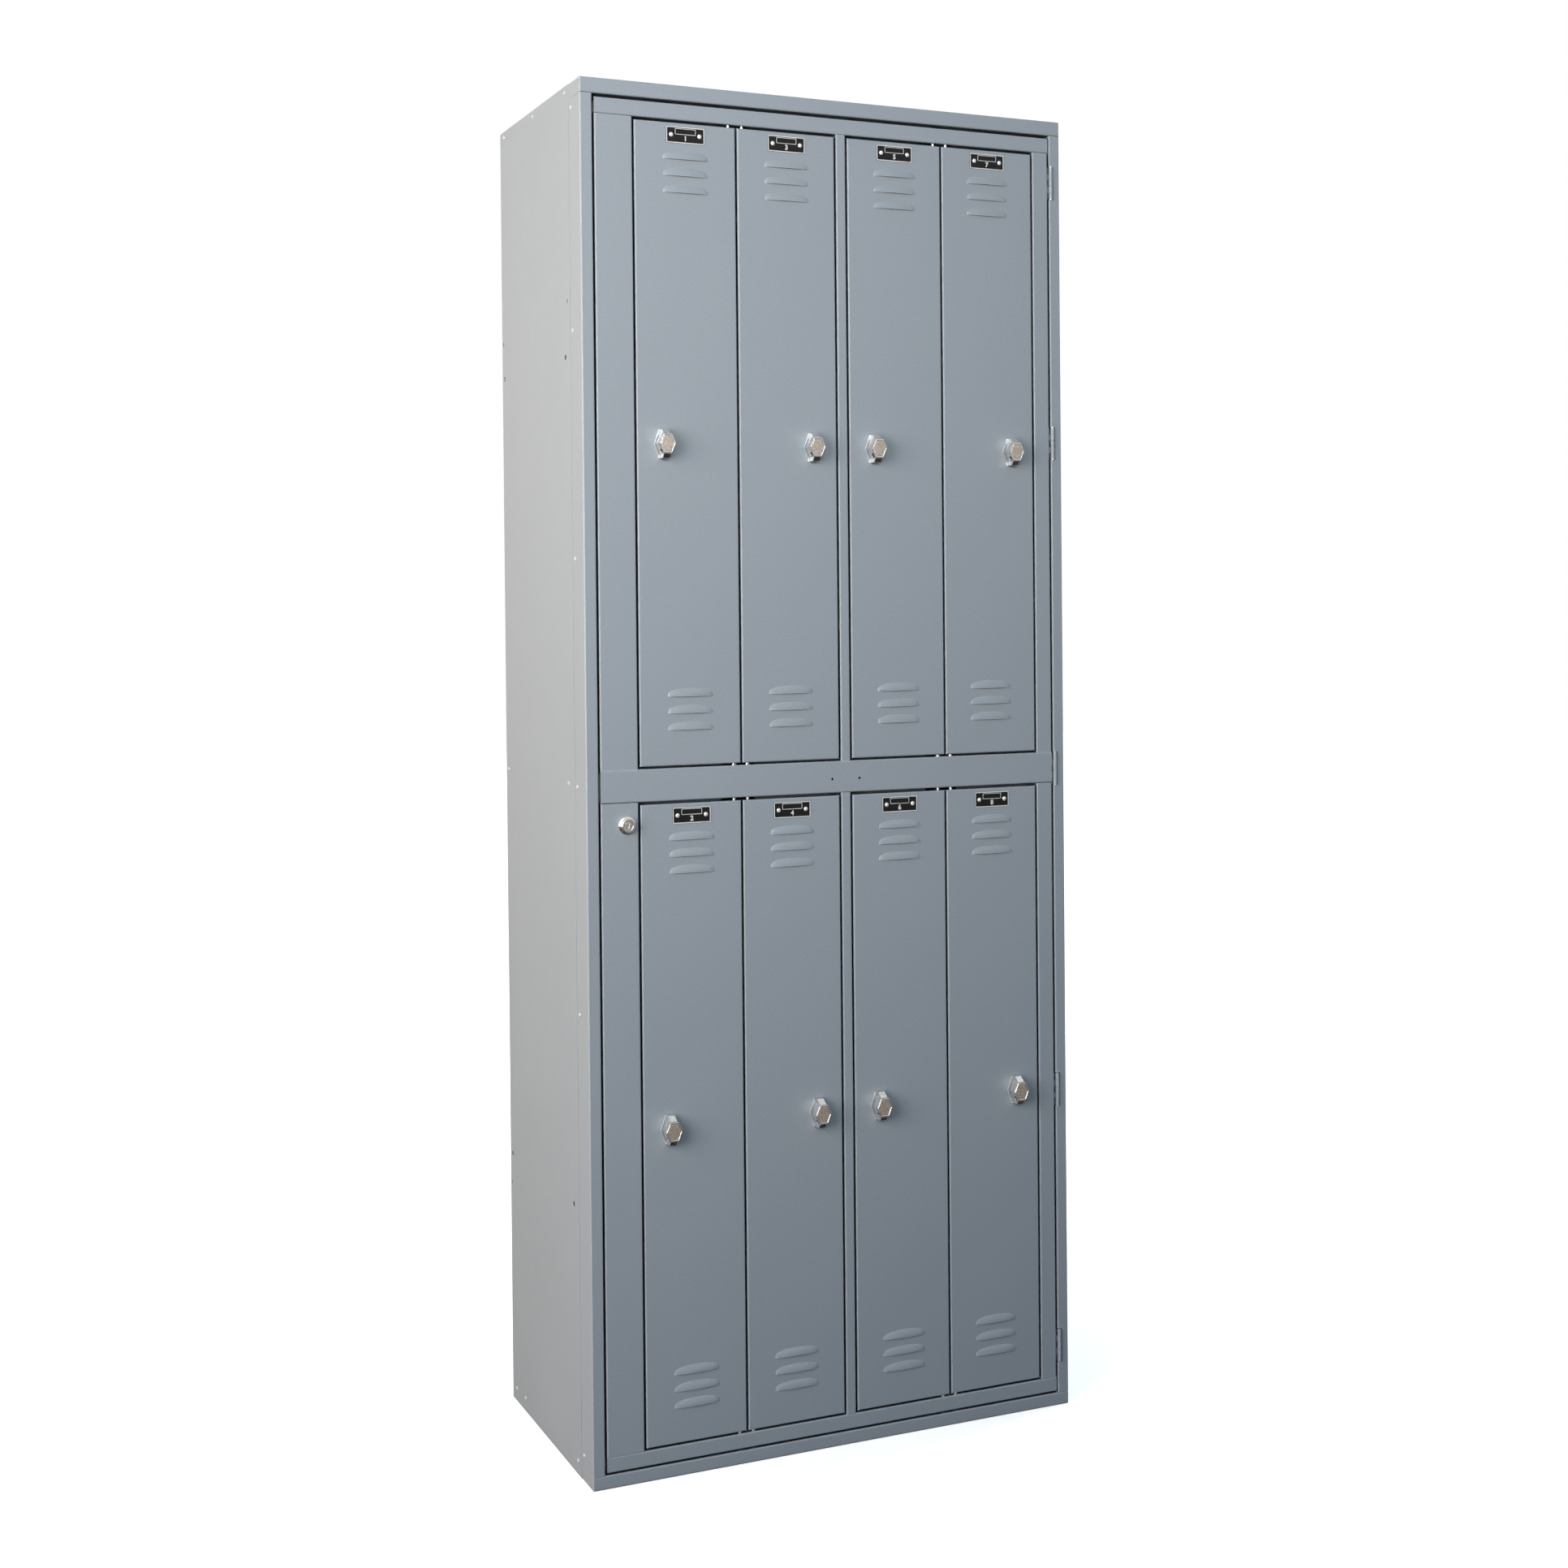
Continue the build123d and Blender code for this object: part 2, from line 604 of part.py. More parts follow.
def gang_leaf(z):
    """The leaf on the gang door's edge."""
    half = HINGE_LONG / 2
    plate = block(GANG_X, GANG_X + HINGE_T, FRONT + 2.2, FRONT + 15.0, z - half, z + half)
    return hinge_leaf(z, (1, 3), plate, (GANG_X, HINGE_X, FRONT + 2.4, FRONT + 3.5))


def frame_leaf(z):
    """The leaf inside the carcass frame."""
    half = HINGE_LONG / 2
    x0 = SIDE - FRAME_SIDE + FRAME_T
    plate = block(x0, x0 + HINGE_T, FRONT + 4.7, FRONT + 18.0, z - half, z + half)
    return hinge_leaf(z, (0, 2, 4), plate, (x0, x0 + HINGE_T, FRONT + 2.6, FRONT + 4.8))


def hinge_pin(z):
    """A pin with a head at each end."""
    half = HINGE_LONG / 2
    head_r = 2.4
    head_t = 1.0
    shank = along_z(HINGE_X, HINGE_Y, HINGE_PIN_R, z - half, z + half)
    top = along_z(HINGE_X, HINGE_Y, head_r, z + half - 0.15, z + half + head_t)
    bottom = along_z(HINGE_X, HINGE_Y, head_r, z - half - head_t, z - half + 0.15)
    return joined([shank, top, bottom])


# ---- master lock ----
def lock_housing():
    """The fixed cylinder: a flange, a bevelled ring and a barrel through the stile."""
    bore_r = LOCK_PLUG_R + 0.06
    barrel_end = -18.0
    outline = [
        (bore_r, LOCK_PROUD),
        (LOCK_RING_R - 1.0, LOCK_PROUD),
        (LOCK_RING_R, LOCK_PROUD - 1.0),
        (LOCK_RING_R, 3.4),
        (LOCK_FLANGE_R - 0.75, 2.8),
        (LOCK_FLANGE_R, 1.8),
        (LOCK_FLANGE_R, 0.0),
        (LOCK_BODY_R, 0.0),
        (LOCK_BODY_R, barrel_end),
        (bore_r, barrel_end),
    ]
    section = make_face(Polyline(*outline, close=True))
    body = revolve(section, axis=Axis.Y)
    return Pos(LOCK_X, FRONT, LOCK_Z) * Rot(180, 0, 0) * body


def lock_plug():
    """The turning plug, with its keyway and the stud that carries the cam."""
    keyway_half_w = 0.9
    keyway_half_h = 3.6
    plug = along_y(LOCK_X, LOCK_Z, LOCK_PLUG_R, FRONT - LOCK_PROUD + 0.3, LOCK_CAM_Y)
    stud = along_y(LOCK_X, LOCK_Z, LOCK_STUD_R, LOCK_CAM_Y - 0.3, LOCK_CAM_Y + 2.1)
    keyway = block(LOCK_X - keyway_half_w, LOCK_X + keyway_half_w, FRONT - 10.0, FRONT - 4.0,
                   LOCK_Z - keyway_half_h, LOCK_Z + keyway_half_h)
    return joined([plug, stud]) - keyway


def cam_blade(x, z, reach, width, hole_r, y0, y1):
    """A cam that points down from its axis, with rounded ends and a round hole."""
    blade = block(x - width / 2, x + width / 2, y0, y1, z - reach, z + width / 2 + 1)
    blade = fillet(blade.edges().filter_by(Axis.Y), width / 2 - 0.5)
    return blade - along_y(x, z, hole_r, y0 - 1, y1 + 1)


def lock_cam():
    """The locking blade and the nut that holds it."""
    hole_r = LOCK_STUD_R + FIT
    blade_t = 2.0
    nut_t = 3.0
    blade = cam_blade(LOCK_X, LOCK_Z, 36.0, 14.0, hole_r, LOCK_CAM_Y, LOCK_CAM_Y + blade_t)
    nut_section = RegularPolygon(5.5, 6, major_radius=False)
    nut = Pos(LOCK_X, 0, LOCK_Z) * extrude(facing(LOCK_CAM_Y + blade_t + nut_t) * nut_section, nut_t)
    return [blade, nut - along_y(LOCK_X, LOCK_Z, hole_r, LOCK_CAM_Y, LOCK_CAM_Y + blade_t + 0.2)]


# ---- personal doors, drawn about the lower end of their pivot axis, hung on the right ----
def louvre_hood(half, tall_r, deep):
    """A solid of revolution about X whose section bulges to tall_r, less the depth of its axis."""
    arc = EllipticalCenterArc(
        center=(0, deep), x_radius=half, y_radius=tall_r - deep, start_angle=0, arc_size=180
    )
    left = Line(arc @ 1, (-half, 0))
    base = Line((-half, 0), (half, 0))
    right = Line((half, 0), arc @ 0)
    return revolve(make_face([arc, left, base, right]), axis=Axis.X)


def louvre(x, z):
    """The hood to add and the hollow to cut for a louvre whose slit is at height z."""
    radius = (LOUVRE_TALL**2 + LOUVRE_PROUD**2) / (2 * LOUVRE_PROUD)
    deep = radius - LOUVRE_PROUD
    face = -PIVOT_DEEP
    above = block(-60, 60, -60, 60, 0, 60)
    outer = louvre_hood(LOUVRE_HALF, radius, deep) & above
    inner = louvre_hood(LOUVRE_HALF - FRAME_T, radius - FRAME_T, deep) & above
    hood = outer & block(-60, 60, -60, -deep + 0.2, 0, 60)
    hollow = inner & block(-60, 60, -60, -deep + FRAME_T + 0.2, -0.1, 60)
    place = Pos(x, face + deep, z)
    return place * hood, place * hollow


def door_panel(hub_z):
    """The door: a folded pan with louvres, a hub hole at hub_z and a pivot hole in each end."""
    left = PIVOT_INSET - DOOR_W
    face = -PIVOT_DEEP
    rear = face + DOOR_DEEP
    pan = block(left, PIVOT_INSET, face, rear, 0, DOOR_H)
    pan = fillet(pan.edges().group_by(Axis.Y)[0], BEND)
    pan -= block(left + FRAME_T, PIVOT_INSET - FRAME_T, face + FRAME_T, rear + 1, FRAME_T, DOOR_H - FRAME_T)
    tops = [DOOR_H - LOUVRE_FIRST_TOP - n * LOUVRE_PITCH for n in range(3)]
    bottoms = [LOUVRE_FIRST_BOTTOM + n * LOUVRE_PITCH for n in range(3)]
    pairs = [louvre(DOOR_MID_X, z) for z in tops + bottoms]
    pan = joined([pan, *[hood for hood, _ in pairs]])
    for _, hollow in pairs:
        pan -= hollow
    pan -= along_y(HUB_X, hub_z, SLEEVE_R + 0.2, face - 1, face + 3)
    for z in (0, DOOR_H):
        pan -= along_z(0, 0, PIVOT_HOLE_R, z - 3, z + 3)
    return pan


def number_plate():
    """A thin plate and its two rivets."""
    face = -PIVOT_DEEP
    front = face - PLATE_T
    z = DOOR_H - PLATE_DROP
    half_w = PLATE_W / 2
    half_h = PLATE_H / 2
    plate = block(DOOR_MID_X - half_w, DOOR_MID_X + half_w, front, face, z - half_h, z + half_h)
    plate = fillet(plate.edges().filter_by(Axis.Y), 2.5)
    heads = []
    for side in (-1, 1):
        x = DOOR_MID_X + side * PLATE_RIVETS / 2
        head = along_y(x, z, PLATE_RIVET_R, front - PLATE_RIVET_HEAD, front)
        heads.append(fillet(head.edges().group_by(Axis.Y)[0], 0.6))
    return [plate, *heads]


# ---- turn handles, drawn about the pivot axis at the height of the hub ----
def hexagon(half_w, half_h, flat):
    """A hexagon with a point at each side and a flat at the top and bottom."""
    corners = [(half_w, 0), (flat, half_h), (-flat, half_h), (-half_w, 0), (-flat, -half_h), (flat, -half_h)]
    return make_face(Polyline(*corners, close=True))


def at_hub(shape):
    """Moves a shape from the origin to the hub, with its zero depth on the door's face."""
    return Pos(HUB_X, -PIVOT_DEEP, 0) * shape


def hasp_base():
    """The fixed base: an escutcheon with a threaded sleeve, and its nut behind the door."""
    face = -PIVOT_DEEP
    plate = at_hub(extrude(facing(0) * hexagon(*BASE_HEX), BASE_T))
    sleeve = along_y(HUB_X, 0, SLEEVE_R, face - 0.5, face + 15.0)
    bore = along_y(HUB_X, 0, SPINDLE_BORE_R, face - 5, face + 20)
    nut = hex_nut(HUB_X, 0, 17.0, SLEEVE_R + FIT, face + FRAME_T, face + FRAME_T + 3.0)
    return [joined([plate, sleeve]) - bore, nut]


def handle_head():
    """The hexagonal head: a prism with a bevelled front and a shallow sunk face."""
    prism = extrude(facing(-HEAD_REAR) * hexagon(*HEAD_HEX), BEVEL_REAR - HEAD_REAR)
    bevel_back = facing(-BEVEL_REAR) * hexagon(*HEAD_HEX)
    bevel_front = facing(-HANDLE_PROUD) * hexagon(*CROWN_HEX)
    bevel = loft([bevel_back, bevel_front], ruled=True)
    recess = extrude(facing(RECESS_DEEP - HANDLE_PROUD) * hexagon(*RECESS_HEX), 2 * RECESS_DEEP)
    return joined([prism, bevel]) - recess


def handle_bar():
    """The upright bar behind the head, whose two ends slope back from the head."""
    inside = HEAD_HEX[1] - 0.5
    under_bevel = BEVEL_REAR - 0.4
    profile = [
        (-HANDLE_REAR, BAR_FOOT),
        (-BAR_FOOT_DEEP, BAR_FOOT),
        (-under_bevel, -inside),
        (-under_bevel, inside),
        (-BAR_TOP_DEEP, BAR_TOP),
        (-HANDLE_REAR, BAR_TOP),
    ]
    section = make_face(Polyline(*profile, close=True))
    return extrude(Plane.YZ.offset(-BAR_HALF) * section, 2 * BAR_HALF)


def turn_handle():
    """The cast handle: its head, its bar and the spindle, with a cross hole for a padlock."""
    cam_y = CAM_Y - FRONT
    spindle = along_y(0, 0, SPINDLE_R, -HANDLE_REAR - 1, cam_y)
    end = along_y(0, 0, SPINDLE_END_R, 0, cam_y + 4.5)
    hole = along_x(-PADLOCK_DEEP, -PADLOCK_DROP, PADLOCK_R, -20, 20)
    return at_hub(joined([handle_head(), handle_bar(), spindle, end]) - hole)


def turn_latch():
    """The handle with its spindle, the latch cam behind the door, and the cam's nut."""
    y0 = -PIVOT_DEEP + CAM_Y - FRONT
    y1 = y0 + CAM_T
    cam = cam_blade(HUB_X, 0, CAM_REACH, 12.0, SPINDLE_END_R + FIT, y0, y1)
    nut = hex_nut(HUB_X, 0, 9.0, SPINDLE_END_R + FIT, y1, y1 + 2.6)
    return [turn_handle(), cam, nut]


def doors():
    """(number, pivot x, bottom z, hub height, hung on the right) of each personal door."""
    found = []
    for column, x in enumerate(pivot_xs()):
        for row, z in enumerate((UPPER_Z0, LOWER_Z0)):
            found.append((2 * column + row + 1, x, z + DOOR_GAP, HUB_ZS[row], column % 2 == 0))
    return found


def placed(shapes, x, z, hung_right):
    """Shapes of one door, mirrored if it is hung on the left, moved to its pivot axis."""
    handed = shapes if hung_right else [mirrored(shape) for shape in shapes]
    return Compound(children=[Pos(x, PIVOT_Y, z) * shape for shape in handed])


os.makedirs("parts", exist_ok=True)

save(side_panel(), "left_side_panel")
save(mirrored(side_panel()), "right_side_panel")
save(back_panel(), "back_panel")
save(top_panel(), "top_panel")
save(tray(FLOOR_Z, FLOOR_FLANGE, FRONT + FLOOR_NOSE), "floor_panel")
save(tray(SHELF_Z, SHELF_FLANGE, FRONT + SHELF_NOSE), "middle_shelf")
save(Compound(children=dividers()), "dividers")
save(frame_stile(), "frame_left_stile")
save(hinge_stile(), "frame_right_stile")
save(frame_top(), "frame_top_rail")
save(frame_bottom(), "frame_bottom_rail")
save(Compound(children=rivets()), "carcass_rivets")
save(Compound(children=coat_hooks()), "coat_hooks")
save(Compound(children=[frame_leaf(z) for z in HINGE_HEIGHTS]), "hinge_frame_leaves")
save(Compound(children=[hinge_pin(z) for z in HINGE_HEIGHTS]), "hinge_pins")

lock_hole = along_y(LOCK_X, LOCK_Z, LOCK_BODY_R + FIT, FRONT - 1, FRONT + 3)
label_xs = [MULLION_X + side * LABEL_HOLES / 2 for side in (-1, 1)]
label_holes = [along_y(x, RAIL_Z - LABEL_DROP, LABEL_HOLE_R, FRONT - 1, FRONT + 3) for x in label_xs]
left_stiles = [stile - lock_hole for stile in gang_uprights(stile_plan(LATCH_STILE), SEAM)]
right_stiles = [mirrored(stile) for stile in gang_uprights(stile_plan(HINGE_STILE), SEAM)]
save(Compound(children=left_stiles), "gang_left_stile")
save(Compound(children=right_stiles), "gang_right_stile")
save(Compound(children=gang_uprights(mullion_plan(), 0)), "gang_mullions")
save(gang_rail(UPPER_Z1, GANG_Z1, [lip_below(UPPER_Z1)]), "gang_top_rail")
middle_lips = [lip_above(UPPER_Z0), lip_below(LOWER_Z1)]
save(gang_rail(LOWER_Z1, UPPER_Z0, middle_lips) - label_holes, "gang_middle_rail")
save(gang_rail(GANG_Z0, LOWER_Z0, [lip_above(LOWER_Z0)]), "gang_bottom_rail")
save(Compound(children=[gang_leaf(z) for z in HINGE_HEIGHTS]), "hinge_gang_leaves")
save(Compound(children=pivot_pins()), "pivot_pins")
save(Compound(children=door_bumpers()), "door_bumpers")
save(lock_housing(), "master_lock_housing")
save(hex_nut(LOCK_X, LOCK_Z, 24.0, LOCK_BODY_R + FIT, FRONT + FRAME_T, FRONT + 6.0), "master_lock_nut")
save(lock_plug(), "master_lock_plug")
save(Compound(children=lock_cam()), "master_lock_cam")

panels = {hub_z: door_panel(hub_z) for hub_z in HUB_ZS}
plate = number_plate()
base = hasp_base()
latch = turn_latch()
for number, x, z, hub_z, hung_right in doors():
    save(placed([panels[hub_z]], x, z, hung_right), f"door_{number}_panel")
    save(placed(plate, x, z, hung_right), f"door_{number}_number_plate")
    save(placed(base, x, z + hub_z, hung_right), f"door_{number}_hasp_base")
    save(placed(latch, x, z + hub_z, hung_right), f"door_{number}_turn_latch")
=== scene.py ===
import json
import math

import bmesh
import bpy
from mathutils import Matrix, Vector


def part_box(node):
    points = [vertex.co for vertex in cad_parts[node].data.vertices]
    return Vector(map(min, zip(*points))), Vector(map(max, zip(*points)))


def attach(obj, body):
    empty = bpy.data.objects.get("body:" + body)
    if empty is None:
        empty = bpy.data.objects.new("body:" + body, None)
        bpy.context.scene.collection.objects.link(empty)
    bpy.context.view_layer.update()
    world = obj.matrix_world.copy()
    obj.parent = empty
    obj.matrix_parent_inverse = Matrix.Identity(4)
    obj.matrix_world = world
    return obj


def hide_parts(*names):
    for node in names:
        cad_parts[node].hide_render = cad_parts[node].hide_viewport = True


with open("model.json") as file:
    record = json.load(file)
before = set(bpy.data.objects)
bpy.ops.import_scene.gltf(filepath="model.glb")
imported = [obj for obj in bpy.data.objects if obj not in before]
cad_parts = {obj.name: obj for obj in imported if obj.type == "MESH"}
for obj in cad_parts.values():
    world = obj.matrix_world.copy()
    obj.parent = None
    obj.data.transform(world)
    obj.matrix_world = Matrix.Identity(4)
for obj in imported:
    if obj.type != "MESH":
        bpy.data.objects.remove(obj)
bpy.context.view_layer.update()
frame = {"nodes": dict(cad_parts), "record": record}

# Locker cabinet: the looks round the CAD frame. Metres, Z up, the front faces -Y.

MM = 0.001
DOORS = range(1, 9)

# ---- driving values: the number plates ----
PLATE_CORNER = 2.2 * MM
PLATE_BEVEL = 0.25 * MM
RIVET_SPACING = 42.5 * MM
RIVET_HEAD_R = 2.7 * MM
RIVET_HEAD_TALL = 0.9 * MM  # how far a rivet head stands in front of its plate
BORDER_INSET = 0.26 * MM
BORDER_WIDE = 1.2 * MM
PRINT_THICK = 0.06 * MM
CORNER_STEPS = 6  # straight pieces in a round corner
CORNER_LEAST = 0.1 * MM
CIRCLE_STEPS = 32
COLLAR_TALL = 0.12 * MM  # low collar under a rivet's dome
COLLAR_FOOT = 1.12  # the collar's radii at the plate and at the dome, as shares of the head's
COLLAR_TOP = 1.06
DOME_LEVELS = (0.0, 0.25, 0.5, 0.7, 0.85, 0.95)  # heights up the dome, as shares
RIVET_SHARP = 50.0  # bends above this many degrees stay sharp
FIELD_SIZE = (31.0 * MM, 8.4 * MM)  # blank outlined name field
FIELD_LINE = 0.7 * MM
FIELD_CORNER = 1.2 * MM
FIELD_RISE = 4.9 * MM  # field centre above the plate's centre
DIGIT_TALL = 7.0 * MM
DIGIT_SHARE = 0.72  # a digit's height as a share of its font size
DIGIT_BOLD = 0.3 * MM
DIGIT_DROP = 4.4 * MM  # digit centre below the plate's centre

# ---- driving values: the turn handles' sunk faces ----
FACE_HALF_W = 9.9 * MM
FACE_HALF_H = 11.1 * MM
FACE_FLAT = 5.3 * MM  # half length of the flats at top and bottom
FACE_SUNK = 0.5 * MM
FACE_THICK = 0.25 * MM
FACE_LEVELS = ((0.0, 1.0), (0.4, 1.0), (1.0, 0.94))  # shares of the thickness and of the outline

# ---- driving values: the ground welds above the middle rail ----
WELD_SIZE = 1.9 * MM
WELD_END = 1.2 * MM  # a weld stops short of its upright's edges
DOOR_LIP = 9.0 * MM  # stop flanges beside the doors' openings
LIP_TALL = 10.0 * MM  # stop flange above the middle rail

# ---- driving values: rolled normals, painted highlights on edges and painted shade in gaps ----
ROUND_SAMPLES = 8
EDGE_SAMPLES = 4
EDGE_FACING = (0.80, 0.995)  # cosine between rolled and true normals, on an edge and on a flat
GAP_SAMPLES = 6
GAP_OPEN = (0.20, 0.42)  # openness deep in a gap and clear of it
GAP_REACH = 18.0 * MM
# reach of the painted highlight along the paint's edges
EDGE_HIGHLIGHT_R = 1.0 * MM

# ---- driving values: the floor, the room and the camera ----
FLOOR_HALF = 14.0
FLOOR_DROP = 0.2 * MM  # keeps the floor clear of the cabinet's underside
FLOOR_GLOW = (0.50, 1.0)  # under the cabinet and far from it
FLOOR_GLOW_REACH = (0.5, 1.6)
ROOM_FILL = 0.436  # strength of the room's soft light
ROOM_MIRRORED = 0.8  # strength of the room as polished metal shows it
SENSOR_WIDE = 36.0
CAMERA_LENS = 48.07
CAMERA_SHIFT = -0.1003
CAMERA_PLACE = (-1.2879, -2.9291, 1.2226)
CAMERA_HEADING = -23.73
CAMERA_TILT = 89.395
CAMERA_ROLL = -0.52


# ---- material building ----
class Surface:
    """A Principled material, and short calls that wire procedural textures to it."""

    def __init__(self, name, **constants):
        self.material = bpy.data.materials.new(name)
        self.material.use_nodes = True
        self.nodes = self.material.node_tree.nodes
        self.links = self.material.node_tree.links
        self.shader = self.nodes["Principled BSDF"]
        for socket, value in constants.items():
            self.shader.inputs[socket.replace("_", " ")].default_value = value
        self.place = self.nodes.new("ShaderNodeTexCoord").outputs["Object"]

    def feed(self, socket, value):
        """Sets a socket to a constant, or links it to another node's output."""
        if isinstance(value, bpy.types.NodeSocket):
            self.links.new(value, socket)
        else:
            socket.default_value = value

    def stretched(self, scale):
        """The object's own coordinates, scaled unevenly."""
        node = self.nodes.new("ShaderNodeMapping")
        node.inputs["Scale"].default_value = scale
        self.links.new(self.place, node.inputs["Vector"])
        return node.outputs["Vector"]

    def noise(self, scale, detail, roughness=0.5, stretch=None):
        node = self.nodes.new("ShaderNodeTexNoise")
        node.inputs["Scale"].default_value = scale
        node.inputs["Detail"].default_value = detail
        node.inputs["Roughness"].default_value = roughness
        self.links.new(self.stretched(stretch) if stretch else self.place, node.inputs["Vector"])
        return node.outputs["Fac"]

    def cells(self, scale):
        """A random value for each cell, as on galvanised metal."""
        node = self.nodes.new("ShaderNodeTexVoronoi")
        node.inputs["Scale"].default_value = scale
        self.links.new(self.place, node.inputs["Vector"])
        split = self.nodes.new("ShaderNodeSeparateColor")
        self.links.new(node.outputs["Color"], split.inputs["Color"])
        return split.outputs["Red"]

    def spread(self, value, low, high, start=0.3, end=0.7):
        """Maps a value's start..end to low..high."""
        node = self.nodes.new("ShaderNodeMapRange")
        self.links.new(value, node.inputs["Value"])
        for socket, number in (("From Min", start), ("From Max", end), ("To Min", low), ("To Max", high)):
            node.inputs[socket].default_value = number
        return node.outputs["Result"]

    def maths(self, operation, first, second):
        node = self.nodes.new("ShaderNodeMath")
        node.operation = operation
        self.feed(node.inputs[0], first)
        self.feed(node.inputs[1], second)
        return node.outputs["Value"]

    def blend(self, factor, first, second):
        """Mixes two colours."""
        node = self.nodes.new("ShaderNodeMix")
        node.data_type = "RGBA"
        self.feed(node.inputs["Factor"], factor)
        self.feed(node.inputs["A"], first)
        self.feed(node.inputs["B"], second)
        return node.outputs["Result"]

    def bump(self, height, depth, strength, under=None):
        node = self.nodes.new("ShaderNodeBump")
        node.inputs["Strength"].default_value = strength
        node.inputs["Distance"].default_value = depth
        self.links.new(height, node.inputs["Height"])
        if under:
            self.links.new(under, node.inputs["Normal"])
        return node.outputs["Normal"]

    def rounded(self, radius):
        """A shading normal that rolls over the edges, as on a polished casting."""
        bevel = self.nodes.new("ShaderNodeBevel")
        bevel.samples = ROUND_SAMPLES
        bevel.inputs["Radius"].default_value = radius
        return bevel.outputs["Normal"]

    def edges(self, radius):
        """Near 1 along outside edges and bends, 0 on flat faces."""
        bevel = self.nodes.new("ShaderNodeBevel")
        bevel.samples = EDGE_SAMPLES
        bevel.inputs["Radius"].default_value = radius
        geometry = self.nodes.new("ShaderNodeNewGeometry")
        dot = self.nodes.new("ShaderNodeVectorMath")
        dot.operation = "DOT_PRODUCT"
        self.links.new(bevel.outputs["Normal"], dot.inputs[0])
        self.links.new(geometry.outputs["Normal"], dot.inputs[1])
        return self.spread(dot.outputs["Value"], 1.0, 0.0, *EDGE_FACING)

    def crevices(self, reach):
        """Near 0 deep in gaps, 1 in the open: the mask for painted shade."""
        node = self.nodes.new("ShaderNodeAmbientOcclusion")
        node.samples = GAP_SAMPLES
        node.inputs["Distance"].default_value = reach
        return self.spread(node.outputs["AO"], 0.0, 1.0, *GAP_OPEN)

    def finish(self, **sockets):
        for socket, value in sockets.items():
            self.feed(self.shader.inputs[socket.replace("_", " ")], value)
        return self.material


def rgb(red, green, blue):
    return (red, green, blue, 1.0)


# ---- materials ----
PAINT = rgb(0.300, 0.345, 0.385)
PAINT_LIGHT = rgb(0.338, 0.381, 0.418)
PAINT_DARK = rgb(0.268, 0.312, 0.352)
# painted highlight: the near-white colour put along edges and bends
PAINT_EDGE_HIGHLIGHT = rgb(0.620, 0.655, 0.680)
PAINT_GAP_SHADE = rgb(0.012, 0.014, 0.018)  # near black painted shade, mixed in where a gap is deep


def satin_paint(name, edge_highlight):
    """Blue-grey powder coat: orange peel, faint mottling, a painted highlight along edges and painted
    shade deep in gaps.
    """
    s = Surface(name, Specular_IOR_Level=0.5)
    broad = s.noise(2.6, 3.0, 0.55)
    mottle = s.noise(420.0, 3.0, 0.7)
    colour = s.blend(s.spread(mottle, 0.0, 1.0, 0.25, 0.75), PAINT_DARK, PAINT_LIGHT)
    colour = s.blend(s.spread(broad, 0.0, 0.5), colour, PAINT)
    # painted highlight along edges and bends, made patchy by noise and weaker on the hinges
    painted_highlight = s.maths("MULTIPLY", s.edges(EDGE_HIGHLIGHT_R), s.spread(s.noise(38.0, 4.0, 0.7), 0.45 * edge_highlight, edge_highlight))
    colour = s.blend(painted_highlight, colour, PAINT_EDGE_HIGHLIGHT)
    # painted shade: near black deep in the gaps
    colour = s.blend(s.crevices(GAP_REACH), PAINT_GAP_SHADE, colour)
    handled = s.spread(s.noise(7.0, 4.0, 0.6), -0.05, 0.05)
    rough = s.maths("ADD", s.spread(s.noise(600.0, 2.0), 0.36, 0.46), handled)
    peel = s.bump(s.noise(520.0, 2.0, 0.45), 0.10 * MM, 0.55)
    waves = s.bump(s.noise(5.0, 1.0), 1.2 * MM, 0.25, under=peel)
    return s.finish(Base_Color=colour, Roughness=rough, Normal=waves)


def bright_chrome():
    """Die-cast and chromed: soft ripple, tiny pits and fine handling scratches."""
    s = Surface("chrome", Metallic=1.0)
    colour = s.blend(s.spread(s.noise(160.0, 3.0), 0.0, 1.0), rgb(0.82, 0.81, 0.79), rgb(0.93, 0.92, 0.90))
    # painted highlight: a lighter colour along the edges
    colour = s.blend(s.maths("MULTIPLY", s.edges(0.6 * MM), 0.6), colour, rgb(0.92, 0.91, 0.89))
    rough = s.spread(s.noise(240.0, 4.0, 0.6), 0.10, 0.26)
    ripple = s.bump(s.noise(110.0, 1.0), 0.20 * MM, 0.35, under=s.rounded(0.7 * MM))
    scratches = s.bump(s.noise(300.0, 3.0, 0.7, stretch=(1.0, 1.0, 9.0)), 0.03 * MM, 0.35, under=ripple)
    return s.finish(Base_Color=colour, Roughness=rough, Normal=scratches)


def grained_casting():
    """The handles' sunk faces: a warm, sandy casting grain."""
    s = Surface("handle_face_grain", Metallic=0.85)
    grain = s.noise(620.0, 3.0, 0.65)
    colour = s.blend(s.spread(grain, 0.0, 1.0, 0.35, 0.65), rgb(0.36, 0.32, 0.28), rgb(0.74, 0.69, 0.62))
    rough = s.spread(grain, 0.55, 0.34)
    return s.finish(Base_Color=colour, Roughness=rough, Normal=s.bump(grain, 0.18 * MM, 0.8))


